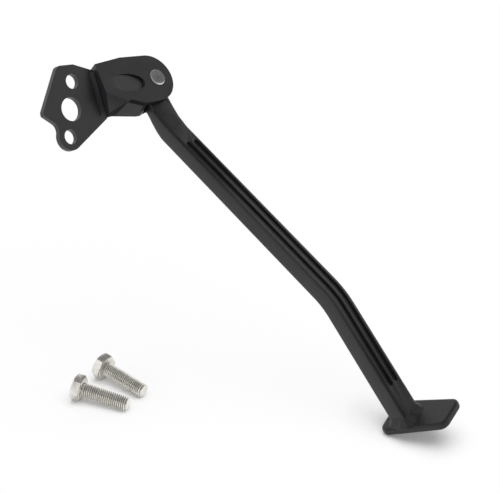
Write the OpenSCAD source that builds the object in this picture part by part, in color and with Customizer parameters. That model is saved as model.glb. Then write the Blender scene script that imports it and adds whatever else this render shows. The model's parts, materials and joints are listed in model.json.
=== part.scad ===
// Side stand for a light motorcycle: bolted plate, forked head, folding leg with a foot.
// Modelled in the head's own frame: x from plate to pivot, y up the head, z outboard.

/* [Stance] */
// Turn of the head about its length
stance_roll = 34; // [26:1:42]
// Turn of the head nose down
stance_pitch = 19; // [12:1:26]
// Turn of the head about the vertical
stance_yaw = 32; // [22:1:42]

/* [Mounting plate] */
// Thickness of the plate
plate_t = 4.5; // [3.5:0.5:6]
// Distance between the two bolt holes
bolt_gap = 40; // [36:1:44]
// Diameter of the bolt holes
bolt_hole_d = 10.5; // [9:0.5:12]
// Diameter of the locating hole between them
locating_d = 17; // [12:0.5:20]
// Radius of the lobe round the lower bolt hole
lobe_r = 9.7; // [9:0.1:11]
// Radius of the two rounded corners on the far edge
plate_corner_r = 4.6; // [3:0.2:6]
// Reach of the plate beyond the hole line
plate_reach = 23.6; // [20:0.2:27]
// Radius of the hollow beside the lower lobe
waist_r = 7; // [6:0.5:8]
// Tilt of the plate against the head
plate_tilt = 16; // [10:1:20]
// Lean of the hole line against the head
plate_lean = 10.5; // [6:0.5:14]
// Radius of the cove bead on the outer side
bead_front_r = 5; // [3:0.5:5.5]
// Radius of the cove bead on the inner side
bead_rear_r = 2; // [1:0.5:3]

/* [Head] */
// Thickness of the forked head
head_depth = 19.2; // [18:0.2:22]
// Width of the slot between the ears
slot_w = 10.2; // [9.6:0.2:10.8]
// Radius of the round ends of the ears
ear_r = 17.7; // [17.1:0.2:18.9]
// Distance from the pivot back to the end wall
head_len = 49.3; // [48:0.1:54]
// Slant of the end wall
wall_slant = 6; // [2:0.5:9]
// Lean of the end wall over the plate
wall_cant = 17; // [12:1:20]
// Distance from the pivot back to the end of the slot
slot_end = 22; // [21:0.5:23]
// Length of the oval scoop
scoop_len = 29; // [24:1:30]
// Height of the oval scoop
scoop_h = 13.5; // [10:0.5:14.5]
// Depth of the oval scoop
scoop_depth = 1.7; // [1:0.1:2.2]

/* [Pivot] */
// Diameter of the pivot pin
pin_d = 12; // [10:0.5:13]
// Length of pin that stands out of the outer ear
pin_proud = 1; // [0.6:0.1:2]
// Chamfer on the pin ends
pin_chamfer = 0.9; // [0.4:0.1:1.4]
// Clearance of the pin in the ears
pin_seat_gap = 0.02; // [0.01:0.01:0.05]
// Running clearance of the bush on the pin
pin_run_gap = 0.04; // [0.02:0.01:0.08]
// Wall of the bush
bush_wall = 1.5; // [1:0.1:2]
// Thickness of the thrust washers
thrust_t = 0.8; // [0.6:0.1:1]
// Diameter of the thrust washers
thrust_d = 21; // [19:0.5:22]
// Thickness of the washer behind the inner ear
back_washer_t = 1.2; // [0.8:0.1:2]
// Diameter of the washer behind the inner ear
back_washer_d = 21; // [18:0.5:24]
// Thickness of the circlip
clip_t = 1; // [0.8:0.1:1.4]
// Depth of the circlip groove
clip_groove = 0.7; // [0.4:0.1:1]
// Free clearance between faces that turn past each other
face_gap = 0.05; // [0.03:0.01:0.08]
// Free clearance between the knuckle and the ears
side_gap = 0.3; // [0.25:0.05:0.4]

/* [Leg] */
// Direction of the knuckle below the head's length
knuckle_dir = 76; // [72:1:80]
// Direction of the main part of the leg
main_dir = 54.9; // [51:0.1:58]
// Direction of the lower part of the leg
lower_dir = 72.2; // [68:0.1:76]
// Distance from the pivot to the first bend
knuckle_len = 36; // [34:1:40]
// Distance between the two bends
main_len = 165; // [130:1:190]
// Distance from the second bend to the foot
lower_len = 98; // [80:1:110]
// Radius of the first bend
bend_one_r = 40; // [30:1:44]
// Radius of the second bend
bend_two_r = 65; // [45:1:90]
// Offset of the leg's middle line from the pivot
knuckle_offset = 4.1; // [3:0.1:5]
// Width of the leg at the knuckle
root_w = 19; // [17:0.2:20]
// Width of the leg below the first bend
top_w = 16.6; // [15:0.2:18]
// Width of the leg at the foot
end_w = 18.3; // [17:0.2:20]
// Thickness of the leg below the first bend
top_t = 13; // [11.6:0.2:14]
// Thickness of the leg at the foot
end_t = 14.4; // [13:0.2:16]
// Radius of the leg's long edges
leg_edge_r = 2.4; // [1.6:0.2:2.8]
// Width of the two grooves
groove_w = 3.9; // [3:0.1:4.2]
// Width of the ridge between the grooves
ridge_w = 2.6; // [2:0.1:3.2]
// Depth of the two grooves
groove_depth = 3.2; // [2:0.1:3.4]
// Distance from the first bend to the start of the grooves
groove_from_bend = 15; // [12:0.5:20]
// Distance from the end of the grooves to the foot
groove_to_foot = 23; // [21:0.5:32]
// Lead of one groove end over the other
groove_stagger = 2.6; // [1:0.1:4]

/* [Knuckle and detent] */
// Radius of the eye round the bush
eye_r = 12.5; // [12:0.1:13]
// Radius of the rim the plunger runs along
rim_r = 15.5; // [15:0.1:16]
// Swing of the leg from its stop to the folded catch
swing = 100; // [90:1:105]
// Clearance at the leg's stop
stop_gap = 0.3; // [0.2:0.05:0.4]
// Diameter of the plunger
plunger_d = 8; // [7:0.2:8.4]
// Length of the plunger behind its round nose
plunger_len = 14; // [12:0.5:15]
// Height of the plunger above the pivot
plunger_y = 5; // [4.6:0.1:5.4]
// Sliding clearance of the plunger
plunger_gap = 0.08; // [0.05:0.01:0.1]
// Clearance between the nose and the rim at rest
nose_gap = 0.3; // [0.25:0.05:0.4]
// Travel of the nose into a notch
notch_depth = 1.2; // [1:0.1:1.5]
// Diameter of the spring wire
wire_d = 0.9; // [0.7:0.1:1]
// Number of turns of the spring
spring_turns = 7; // [5:1:8]

/* [Foot] */
// Length of the foot plate outboard of the leg
foot_out = 38; // [34:0.5:46]
// Length of the foot plate inboard of the leg
foot_in = 17; // [15:0.5:22]
// Width of the foot plate
foot_w = 31; // [30:0.5:36]
// Narrowing of the foot plate towards its outboard end
foot_taper = 2.8; // [0:0.2:4]
// Thickness of the foot plate
foot_t = 6; // [5:0.5:8]
// Radius of the foot plate's corners
foot_corner = 6.5; // [4:0.5:9]
// Rounding of the foot plate's edges
foot_edge = 1.6; // [0.8:0.2:2]
// Width of the weld bead round the leg
weld_w = 3.8; // [2.4:0.2:4]
// Height of the weld bead
weld_h = 4.4; // [3.6:0.2:6]

/* [Mounting bolts] */
// Thread diameter of the two bolts
bolt_d = 10; // [8:0.5:10]
// Length of the two bolts under the head
bolt_len = 35; // [28:1:40]
// Width across the flats of the bolt heads
bolt_flats = 17; // [15:0.5:18]
// Height of the bolt heads
bolt_head_h = 6.4; // [5:0.2:7]
// Place of the upper bolt along the ground
upper_bolt_x = 26.3; // [24:0.1:30]
// Place of the upper bolt across the ground
upper_bolt_y = -36; // [-40:0.1:-34]
// Heading of the upper bolt
upper_bolt_turn = -40.6; // [-46:0.2:-36]
// Place of the lower bolt along the ground
lower_bolt_x = 9.6; // [6:0.1:12]
// Place of the lower bolt across the ground
lower_bolt_y = -60.8; // [-64:0.1:-59]
// Heading of the lower bolt
lower_bolt_turn = -23.2; // [-28:0.2:-20]

/* [Hidden] */
$fn = 64;

paint = "#303134";
steel = "#a9a8a4";
bronze = "#a5824c";

// Turns of a point, in the order the solids are turned
function spin_x(a, p) = [p.x, p.y * cos(a) - p.z * sin(a), p.y * sin(a) + p.z * cos(a)];
function spin_y(a, p) = [p.x * cos(a) + p.z * sin(a), p.y, p.z * cos(a) - p.x * sin(a)];
function spin_z(a, p) = [p.x * cos(a) - p.y * sin(a), p.x * sin(a) + p.y * cos(a), p.z];
function spin(r, p) = spin_z(r.z, spin_y(r.y, spin_x(r.x, p)));

// Stance of the head; the origin is the plate's inner face midway between the bolt holes
stance = [stance_roll, stance_pitch, stance_yaw];
plate_at = [-72.6, -16.2, -7.3];
function to_row(p) = spin(stance, p - plate_at);

// Path of the leg: knuckle, first bend, main part, second bend, lower part
turn_one = knuckle_dir - main_dir;
turn_two = lower_dir - main_dir;
trim_one = bend_one_r * tan(turn_one / 2);
trim_two = bend_two_r * tan(turn_two / 2);
arc_one = bend_one_r * turn_one * PI / 180;
arc_two = bend_two_r * turn_two * PI / 180;
s_one = knuckle_len - trim_one;
s_main = s_one + arc_one;
s_two = s_main + main_len - trim_one - trim_two;
s_lower = s_two + arc_two;
s_foot = s_lower + lower_len - trim_two;
s_end = s_foot + 22;
function along(a) = [cos(a), -sin(a)];
p_zero = -knuckle_offset * [sin(knuckle_dir), cos(knuckle_dir)];
p_one = p_zero + s_one * along(knuckle_dir);
p_main = p_one + trim_one * (along(knuckle_dir) + along(main_dir));
p_two = p_main + (s_two - s_main) * along(main_dir);
p_lower = p_two + trim_two * (along(main_dir) + along(lower_dir));
p_foot = p_lower + (s_foot - s_lower) * along(lower_dir);

// Heading, in degrees below the head's length, and place of the path at a distance s
function heading(s) =
    s < s_one ? knuckle_dir :
    s < s_main ? knuckle_dir - (s - s_one) / arc_one * turn_one :
    s < s_two ? main_dir :
    s < s_lower ? main_dir + (s - s_two) / arc_two * turn_two :
    lower_dir;
function chord(r, d) = 2 * r * sin(d / 2);
function place(s) =
    s < s_one ? p_zero + s * along(knuckle_dir) :
    s < s_main ? p_one + chord(bend_one_r, knuckle_dir - heading(s)) *
        along((knuckle_dir + heading(s)) / 2) :
    s < s_two ? p_main + (s - s_main) * along(main_dir) :
    s < s_lower ? p_two + chord(bend_two_r, heading(s) - main_dir) * along((main_dir + heading(s)) / 2) :
    p_lower + (s - s_lower) * along(lower_dir);

// Width and thickness of the leg along its path
knuckle_t = slot_w - 2 * side_gap;
s_thin = 23;
s_full = knuckle_len + 1;
function leg_w(s) = lookup(s, [[0, root_w], [s_thin, root_w], [s_full + 6, top_w], [s_foot - 15, end_w]]);
function leg_t(s) = lookup(s, [[0, knuckle_t - 0.1], [s_thin, knuckle_t - 0.1], [s_full, top_t],
    [s_foot - 15, end_t]]);

// Grooves: how far each is cut at a distance s, from 0 at its ends to 1
groove_near = s_main + groove_from_bend - trim_one;
groove_far = s_foot - groove_to_foot;
groove_end_r = groove_w / 2;
function ease(u) = min(1, max(0, u));
function cut(s, lead) = ease(min(s - groove_near - lead, groove_far - lead * 0.7 - s) / groove_end_r);
function span(u) = max(0.2, sqrt(1 - (1 - u) * (1 - u)));

// One cross section of the leg: rounded corners, and two grooves on the outer face
corner_steps = 4;
function corner(x, y, from) = [for (i = [0:corner_steps])
    let (a = from + 90 * i / corner_steps)
    [x + leg_edge_r * cos(a), y + leg_edge_r * sin(a)]];
function groove(x, top, u) = [
    [x + groove_w / 2 * span(u), top],
    [x + groove_w * 0.36 * span(u), top - groove_depth * 0.8 * ease(2.5 * u)],
    [x, top - groove_depth * ease(2.5 * u) - 0.001],
    [x - groove_w * 0.36 * span(u), top - groove_depth * 0.8 * ease(2.5 * u)],
    [x - groove_w / 2 * span(u), top]];
function section(s) =
    let (w = leg_w(s) / 2, t = leg_t(s) / 2, g = (groove_w + ridge_w) / 2)
    concat(corner(w - leg_edge_r, -t + leg_edge_r, 270), corner(w - leg_edge_r, t - leg_edge_r, 0),
        groove(g, t, cut(s, groove_stagger)), groove(-g, t, cut(s, 0)),
        corner(-w + leg_edge_r, t - leg_edge_r, 90), corner(-w + leg_edge_r, -t + leg_edge_r, 180));
function ring(s) =
    let (p = place(s), a = heading(s))
    [for (q = section(s)) [p.x + q.x * sin(a), p.y + q.x * cos(a), q.y]];

// Distances at which the leg's cross section is drawn
function below(v, list) = [for (x = list) if (x < v - 0.05) x];
function above(v, list) = [for (x = list) if (x > v + 0.05) x];
function sorted(list) = len(list) < 2 ? list :
    let (v = list[floor(len(list) / 2)])
    concat(sorted(below(v, list)), [v], sorted(above(v, list)));
end_steps = [0, 0.1, 0.3, 0.6, 1];
stations = sorted(concat(
    [0, s_thin, s_full, s_full + 6, s_end, s_foot - 15],
    [for (i = [0:6]) s_one + arc_one * i / 6],
    [for (i = [0:6]) s_two + arc_two * i / 6],
    [for (u = end_steps) groove_near + u * groove_end_r],
    [for (u = end_steps) groove_near + groove_stagger + u * groove_end_r],
    [for (u = end_steps) groove_far - u * groove_end_r],
    [for (u = end_steps) groove_far - groove_stagger * 0.7 - u * groove_end_r]));

// Bar of the leg, swept along its path
module leg_bar() {
    rows = [for (s = stations) ring(s)];
    n = len(rows[0]);
    m = len(rows);
    points = [for (r = rows) for (p = r) p];
    sides = [for (j = [0:m - 2]) for (i = [0:n - 1]) for (k = [0:1])
        k == 0 ? [j * n + i, (j + 1) * n + i, j * n + (i + 1) % n] :
        [(j + 1) * n + i, (j + 1) * n + (i + 1) % n, j * n + (i + 1) % n]];
    first = [[for (i = [0:n - 1]) i]];
    last = [[for (i = [0:n - 1]) (m - 1) * n + n - 1 - i]];
    polyhedron(points, concat(sides, first, last), convexity = 10);
}

// Foot: its turn in the head's frame, and its top face at the end of the leg
foot_shift = 1.5;
foot_turn = [9.25, -60.7, -54.4];
foot_at = [p_foot.x, p_foot.y, 0];
function foot_ring(e) =
    let (r = foot_corner - e, a = foot_corner - foot_in, b = foot_out - foot_corner,
        v = foot_shift - foot_w / 2 + foot_corner, w = foot_shift + foot_w / 2 - foot_corner,
        mid = [[b, w], [a, w + foot_taper / 4], [a, v], [b, v + foot_taper]])
    [for (k = [0:3]) for (i = [0:6]) mid[k] + r * [cos(90 * k + 15 * i), sin(90 * k + 15 * i)]];
foot_ease = [[0, foot_edge], [0.29 * foot_edge, 0.29 * foot_edge], [foot_edge, 0]];
foot_low = [for (q = foot_ease) for (p = foot_ring(q[0])) [p.x, p.y, q[1] - foot_t]];
ground = min([for (p = foot_low) to_row(foot_at + spin(foot_turn, p)).z]);

// Bolts on the ground: heel of the head and tip of the thread both touch
bolt_tilt = atan((bolt_flats - bolt_d) / 2 / bolt_len);
bolt_rise = bolt_flats / 2 * cos(bolt_tilt);

// Pin, bush and washers
pin_r = pin_d / 2;
bush_r = pin_r + pin_run_gap + bush_wall;
thrust_r = pin_r + 0.1;
eye_t = slot_w - 2 * thrust_t - 4 * face_gap;
clip_z = -head_depth / 2 - back_washer_t - 2 * face_gap;
pin_tail = clip_z - clip_t - 1.6;

// Plunger: nose, stroke and the two notches in the knuckle's rim
nose_r = plunger_d / 2;
nose_x = -sqrt(pow(rim_r + nose_gap + nose_r, 2) - plunger_y * plunger_y);
notch_at = [nose_x + notch_depth, plunger_y];
notch_r = nose_r + nose_gap;
bore_r = nose_r + plunger_gap;
bore_end = -head_len + 7;
plug_len = 2;
well_r = nose_r - 1.2;
well_end = nose_x - 5;
spring_r = well_r - wire_d / 2 - 0.25;
spring_from = bore_end + plug_len + wire_d / 2 + 0.05;
spring_to = well_end - wire_d / 2 - 0.05;

module in_head() {
    rotate(stance) translate(-plate_at) children();
}

module plate_frame() {
    translate(plate_at) rotate([plate_tilt, 0, 0]) rotate([0, 0, -plate_lean]) children();
}

module foot_frame() {
    translate(foot_at) rotate(foot_turn) children();
}

// Everything on the head's side of the end wall
module head_side() {
    rotate([0, 0, wall_slant]) translate([-head_len, -100, head_depth / 2]) rotate([0, -wall_cant, 0])
        translate([0, 0, -150]) cube([200, 200, 300]);
}

// End wall: its place at the outer face, and at any depth
wall_lean = tan(wall_cant) / cos(wall_slant);
function wall_x(y) = -head_len / cos(wall_slant) - y * tan(wall_slant);
function wall_at(y, z) = wall_x(y) + wall_lean * (head_depth / 2 - z);

// Flat plate with a locating hole and two bolt holes; the hollow runs smoothly into the lower lobe
waist_out = lobe_r + waist_r - 0.05;
module plate_shape() {
    difference() {
        union() {
            difference() {
                hull() {
                    translate([0, -bolt_gap / 2]) circle(lobe_r);
                    translate([plate_corner_r - plate_reach, -6.2]) circle(plate_corner_r);
                    translate([plate_corner_r - 14, bolt_gap / 2 + 5.2]) circle(plate_corner_r);
                    translate([0.5, bolt_gap / 2 + 10.4]) circle(2);
                    translate([22, bolt_gap / 2 + 8.5]) circle(2);
                    translate([31, 3.2]) circle(3);
                }
                hull() {
                    translate([0, -bolt_gap / 2] + waist_out * [cos(176), sin(176)]) circle(waist_r);
                    translate([0, -bolt_gap / 2] + waist_out * [cos(215), sin(215)]) circle(waist_r);
                    translate([-waist_out - 10.3, 5.2 - bolt_gap / 2]) circle(waist_r);
                    translate([-waist_out - 12, -bolt_gap / 2 - 10]) circle(waist_r);
                }
            }
            translate([0, -bolt_gap / 2]) circle(lobe_r);
        }
        circle(d = locating_d);
        for (side = [-1, 1]) translate([0, side * bolt_gap / 2]) circle(d = bolt_hole_d);
    }
}

module mount_plate() {
    color(paint) in_head() difference() {
        plate_frame() linear_extrude(plate_t) plate_shape();
        head_side();
    }
}

// Outline of an ear, seen from outboard: straight edges that run into a round end
ear_at = [-5.2, -0.5];
ear_top = [-27.6, 15.9];
ear_heel = [-16, -20];
function touch(p, side) =
    let (d = p - ear_at, a = atan2(d.y, d.x) + side * acos(ear_r / norm(d)))
    ear_at + ear_r * [cos(a), sin(a)];

module ear_shape() {
    translate(ear_at) circle(ear_r);
    polygon([[wall_x(10.8) - 8, 9.4], ear_top, touch(ear_top, -1), ear_at, touch(ear_heel, 1), ear_heel,
        [-28.3, -17], [-31.5, -18.4], [wall_x(-11.4) - 8, -8.1]]);
}

// Slab of the head at one depth
module slab(z, outline) {
    translate([0, 0, z]) linear_extrude(0.2) polygon(outline);
}

// Root of the head, its lower face slanting from the outer ear down to the plate
inner_z = -head_depth / 2 + 0.1;
slot_z = -slot_w / 2 + 0.1;
module head_root() {
    hull() {
        slab(head_depth / 2 - 0.3, [[wall_x(-11.4) - 8, -8.3], [-31.5, -18.6], [-29, -5],
            [wall_x(0) - 8, 0]]);
        slab(slot_z, [[-54, -26], [-35.3, -22.1], [-33, -5], [-54, 0]]);
        slab(inner_z, [[-54, -24.2], [-35.3, -20.4], [-33, -5], [-54, 0]]);
    }
}

// Lower edge of the inner ear, deeper than the outer ear's and drafted inwards
module inner_heel() {
    hull() {
        slab(slot_z, [[-35.6, -22.2], [-14.3, -22.9], [-8.5, -20.3], [-5, -10], [-35.6, -8]]);
        slab(inner_z, [[-35.6, -20.5], [-14.3, -21.1], [-9.5, -18.9], [-5, -10], [-35.6, -8]]);
    }
}

// Web between the ears below the knuckle, its lower face slanting from the outer ear to the inner one
web_x = -12.5;
module web() {
    hull() {
        slab(slot_w / 2 - 0.1, [[-28.3, -16.6], [-16, -19.6], [web_x, -18.8], [web_x, -12], [-28.3, -10]]);
        slab(-2, [[-17, -24.4], [web_x, -12], [-28.3, -10]]);
        slab(slot_z, [[-35.6, -22.2], [-14.3, -22.9], [web_x, -22.1], [web_x, -12], [-35.6, -8]]);
    }
}

// Slot that takes the knuckle, with the stop face at its closed end and room for the heel's sweep
sweep_r = slot_end + 2;
sweep_from = 180 + acos(slot_end / sweep_r);
sweep_to = 180 + acos(-web_x / sweep_r);
module slot_shape() {
    turns = [for (i = [0:6]) sweep_from + i / 6 * (sweep_to - sweep_from)];
    arc = [for (a = turns) sweep_r * [cos(a), sin(a)]];
    polygon(concat([[-slot_end, 40]], arc, [[web_x, -40], [40, -40], [40, 40]]));
}

module scoop() {
    translate([-26.7, -3.8, head_depth / 2]) rotate([0, 4.4, 0]) translate([0, 0, -scoop_depth * 0.55])
        linear_extrude(6) scale([scoop_len / scoop_h, 1]) circle(d = scoop_h);
}

module clevis_head() {
    color(paint) in_head() difference() {
        intersection() {
            union() {
                linear_extrude(head_depth, center = true) ear_shape();
                head_root();
                inner_heel();
                web();
            }
            head_side();
        }
        linear_extrude(slot_w, center = true) slot_shape();
        cylinder(h = 60, r = pin_r + pin_seat_gap, center = true);
        translate([bore_end, plunger_y, 0]) rotate([0, 90, 0]) cylinder(h = 40, r = bore_r);
        scoop();
    }
}

// Cove beads along the seam between plate and head
seam_yaw = atan(tan(wall_slant) + wall_lean * tan(plate_tilt));
seam_tilt = atan(tan(plate_tilt) * cos(seam_yaw));
function face_z(y, up) = plate_at.z + (up + sin(plate_tilt) * (y - plate_at.y)) / cos(plate_tilt);

module bead(r, side) {
    y = -24;
    length = 34;
    z = face_z(y, side > 0 ? plate_t : 0);
    translate([wall_at(y, z), y, z]) rotate([0, 0, seam_yaw]) rotate([seam_tilt, 0, 0])
        translate([0, length, 0]) rotate([90, 0, 0])
        linear_extrude(length) difference() {
            translate([-r, side > 0 ? -1 : -r]) square(r + 1);
            translate([-r, side * r]) circle(r - 0.3);
        }
}

// Profile of the head's end wall, carried out past the plate
module end_profile() {
    translate([-90, 0, 0]) rotate([90, 0, 90]) linear_extrude(60)
        polygon([[9, head_depth / 2 - 1], [-11, head_depth / 2 - 3.2], [-23.8, -5.2], [-23.8, inner_z + 0.1],
            [9, inner_z + 0.1]]);
}

module bracket_weld_front() {
    color(paint) in_head() difference() {
        intersection() {
            bead(bead_front_r, 1);
            end_profile();
        }
        head_side();
        plate_frame() translate([-100, -100, plate_t - 200]) cube(200);
    }
}

module bracket_weld_rear() {
    color(paint) in_head() difference() {
        intersection() {
            bead(bead_rear_r, -1);
            end_profile();
        }
        head_side();
        plate_frame() translate([-100, -100, 0]) cube(200);
    }
}

// Plug at the drilled end of the plunger bore, where the spring seats
module bore_plug() {
    color(steel) in_head() translate([bore_end, plunger_y, 0]) rotate([0, 90, 0])
        cylinder(h = plug_len, r = bore_r - 0.02);
}

// Pin with chamfered ends and a groove for the circlip
module pivot_pin() {
    front = head_depth / 2 + pin_proud;
    color(steel) in_head() rotate_extrude() polygon([
        [0, front], [pin_r - pin_chamfer, front], [pin_r, front - pin_chamfer],
        [pin_r, clip_z], [pin_r - clip_groove, clip_z],
        [pin_r - clip_groove, clip_z - clip_t - face_gap], [pin_r, clip_z - clip_t - face_gap],
        [pin_r, pin_tail + pin_chamfer], [pin_r - pin_chamfer, pin_tail], [0, pin_tail]]);
}

module pin_washer() {
    color(steel) in_head() translate([0, 0, -head_depth / 2 - face_gap - back_washer_t]) difference() {
        cylinder(h = back_washer_t, d = back_washer_d);
        translate([0, 0, -1]) cylinder(h = 10, r = thrust_r);
    }
}

module pin_circlip() {
    color(steel) in_head() translate([0, 0, clip_z - clip_t]) linear_extrude(clip_t) difference() {
        circle(pin_r + 2.4);
        circle(pin_r - clip_groove + 0.02);
        polygon([[0, 0], [20, 9], [20, -9]]);
    }
}

module thrust_washer(z) {
    in_head() translate([0, 0, z]) difference() {
        cylinder(h = thrust_t, d = thrust_d);
        translate([0, 0, -1]) cylinder(h = 10, r = thrust_r);
    }
}

module thrust_washer_front() {
    color(bronze) thrust_washer(slot_w / 2 - face_gap - thrust_t);
}

module thrust_washer_rear() {
    color(bronze) thrust_washer(face_gap - slot_w / 2);
}

// Spring plunger with a round nose and a well for the spring
module detent_plunger() {
    color(steel) in_head() translate([0, plunger_y, 0]) difference() {
        union() {
            translate([nose_x - plunger_len, 0, 0]) rotate([0, 90, 0]) cylinder(h = plunger_len, r = nose_r);
            translate([nose_x, 0, 0]) sphere(nose_r);
        }
        translate([nose_x - plunger_len - 1, 0, 0]) rotate([0, 90, 0])
            cylinder(h = plunger_len + 1 + well_end - nose_x, r = well_r);
    }
}

// Spring: wire wound round the plunger's line
wire_steps = 10;
function wire_at(i) =
    let (u = i / (spring_turns * wire_steps), a = 360 * i / wire_steps)
    [spring_from + u * (spring_to - spring_from), spring_r * cos(a), spring_r * sin(a)];
function wire_ring(i) =
    let (p = wire_at(i), a = 360 * i / wire_steps)
    [for (k = [0:5]) p + wire_d / 2 * [sin(60 * k), cos(60 * k) * cos(a), cos(60 * k) * sin(a)]];

module detent_spring() {
    count = spring_turns * wire_steps;
    points = [for (i = [0:count]) for (p = wire_ring(i)) p];
    sides = [for (j = [0:count - 1]) for (k = [0:5]) for (h = [0:1])
        h == 0 ? [j * 6 + k, j * 6 + (k + 1) % 6, (j + 1) * 6 + k] :
        [j * 6 + (k + 1) % 6, (j + 1) * 6 + (k + 1) % 6, (j + 1) * 6 + k]];
    first = [[5, 4, 3, 2, 1, 0]];
    last = [[for (k = [0:5]) count * 6 + k]];
    color(steel) in_head() translate([0, plunger_y, 0])
        polyhedron(points, concat(sides, first, last), convexity = 10);
}

// Knuckle: eye, rim for the plunger and heel that meets the stop face
module knuckle_shape() {
    difference() {
        union() {
            circle(eye_r);
            intersection() {
                circle(rim_r);
                polygon([[0, 0], 60 * [cos(38), sin(38)], 60 * [cos(75), sin(75)], 60 * [cos(120), sin(120)],
                    60 * [cos(176), sin(176)]]);
            }
            polygon([[stop_gap - slot_end, -1.5], [stop_gap - slot_end, -7], [-11, -11.5], [-4, -9],
                [-8, -0.5]]);
        }
        translate(notch_at) circle(notch_r);
        rotate(-swing) translate(notch_at) circle(notch_r);
    }
}

module leg() {
    color(paint) in_head() difference() {
        union() {
            leg_bar();
            linear_extrude(knuckle_t, center = true) knuckle_shape();
        }
        cylinder(h = 60, r = bush_r + 0.02, center = true);
        for (side = [0, 1]) mirror([0, 0, side]) translate([0, 0, eye_t / 2])
            cylinder(h = 20, d = thrust_d + 1);
        foot_frame() translate([-100, -100, -200]) cube([200, 200, 200]);
    }
}

module knuckle_bush() {
    color(bronze) in_head() difference() {
        cylinder(h = eye_t - 2 * face_gap, r = bush_r, center = true);
        cylinder(h = 60, r = pin_r + pin_run_gap, center = true);
    }
}

// Foot plate with round corners and eased edges
module foot_plate() {
    color(paint) in_head() foot_frame() hull() for (q = foot_ease)
        translate([0, 0, q[1] - foot_t]) linear_extrude(foot_t - 2 * q[1]) polygon(foot_ring(q[0]));
}

// Lower end of the leg, widened by a margin
module leg_end(margin) {
    translate([p_foot.x, p_foot.y, 0]) rotate([0, 0, -lower_dir]) rotate([0, 90, 0]) rotate([0, 0, 90])
        translate([0, 0, -14]) linear_extrude(40) offset(r = leg_edge_r + margin, $fn = 32)
        square([end_w - 2 * leg_edge_r, end_t - 2 * leg_edge_r], center = true);
}

module foot_weld() {
    color(paint) in_head() difference() {
        hull() {
            intersection() {
                leg_end(weld_w);
                foot_frame() translate([-50, -50, 0]) cube([100, 100, 0.5]);
            }
            intersection() {
                leg_end(0.5);
                foot_frame() translate([-50, -50, weld_h]) cube([100, 100, 0.5]);
            }
        }
        leg_end(0.02);
    }
}

// Hex bolt lying on the ground with its thread towards +x
module bolt() {
    translate([0, 0, ground + bolt_rise]) rotate([0, bolt_tilt, 0]) rotate([0, 90, 0]) union() {
        translate([0, 0, -1]) cylinder(h = bolt_len, d = bolt_d);
        translate([0, 0, bolt_len - 1]) cylinder(h = 1, d1 = bolt_d, d2 = bolt_d - 2);
        intersection() {
            translate([0, 0, -bolt_head_h]) rotate([0, 0, 30])
                cylinder(h = bolt_head_h, d = bolt_flats / cos(30), $fn = 6);
            translate([0, 0, -bolt_head_h]) cylinder(h = bolt_head_h + 8, r1 = bolt_flats / 2 - 0.4,
                r2 = bolt_flats / 2 - 0.4 + (bolt_head_h + 8) * 1.73);
        }
    }
}

module mounting_bolt_upper() {
    color(steel) translate([upper_bolt_x, upper_bolt_y, 0]) rotate([0, 0, upper_bolt_turn]) bolt();
}

module mounting_bolt_lower() {
    color(steel) translate([lower_bolt_x, lower_bolt_y, 0]) rotate([0, 0, lower_bolt_turn]) bolt();
}

mount_plate();
clevis_head();
bracket_weld_front();
bracket_weld_rear();
bore_plug();
pivot_pin();
pin_washer();
pin_circlip();
thrust_washer_front();
thrust_washer_rear();
detent_plunger();
detent_spring();
leg();
knuckle_bush();
foot_plate();
foot_weld();
mounting_bolt_upper();
mounting_bolt_lower();
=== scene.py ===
import json
import math

import bmesh
import bpy
from mathutils import Matrix, Vector, noise
from mathutils.bvhtree import BVHTree


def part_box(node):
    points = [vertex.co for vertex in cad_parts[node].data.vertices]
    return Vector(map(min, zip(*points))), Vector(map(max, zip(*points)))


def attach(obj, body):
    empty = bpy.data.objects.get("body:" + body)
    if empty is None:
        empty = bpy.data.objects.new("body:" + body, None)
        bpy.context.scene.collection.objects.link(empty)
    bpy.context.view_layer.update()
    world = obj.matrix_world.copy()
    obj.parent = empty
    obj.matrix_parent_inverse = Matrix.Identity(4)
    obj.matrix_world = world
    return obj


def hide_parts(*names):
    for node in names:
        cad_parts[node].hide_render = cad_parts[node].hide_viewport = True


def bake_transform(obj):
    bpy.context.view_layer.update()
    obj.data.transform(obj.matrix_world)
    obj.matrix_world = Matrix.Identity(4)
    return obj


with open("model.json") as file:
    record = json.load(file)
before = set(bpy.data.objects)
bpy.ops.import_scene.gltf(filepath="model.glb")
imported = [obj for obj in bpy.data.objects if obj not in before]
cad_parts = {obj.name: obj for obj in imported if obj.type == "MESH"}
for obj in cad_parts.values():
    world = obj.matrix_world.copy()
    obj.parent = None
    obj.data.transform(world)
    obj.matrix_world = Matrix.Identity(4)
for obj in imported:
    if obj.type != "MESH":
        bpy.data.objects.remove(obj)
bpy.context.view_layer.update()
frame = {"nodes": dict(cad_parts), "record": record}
nodes = frame["nodes"]
joints = {joint["name"]: joint for joint in frame["record"]["behaviour"]["joints"]}
pivot = Vector(joints["leg_swing"]["pos_m"])
pivotAxis = Vector(joints["leg_swing"]["axis"])
slideAxis = Vector(joints["plunger_slide"]["axis"])
headDown = pivotAxis.cross(slideAxis)
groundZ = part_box("foot_plate")[0].z  # the foot's low corner stands on the floor
mm = 0.001
print("frame loaded:", len(nodes), "nodes, ground at", round(groundZ, 4))


# node helpers

def newMaterial(name):
    material = bpy.data.materials.new(name)
    material.use_nodes = True
    return material, material.node_tree.nodes, material.node_tree.links


def place(nodeTree, kind, **values):
    node = nodeTree.new(kind)
    for key, value in values.items():
        if hasattr(node, key):
            setattr(node, key, value)
        else:
            node.inputs[key].default_value = value
    return node


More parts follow.
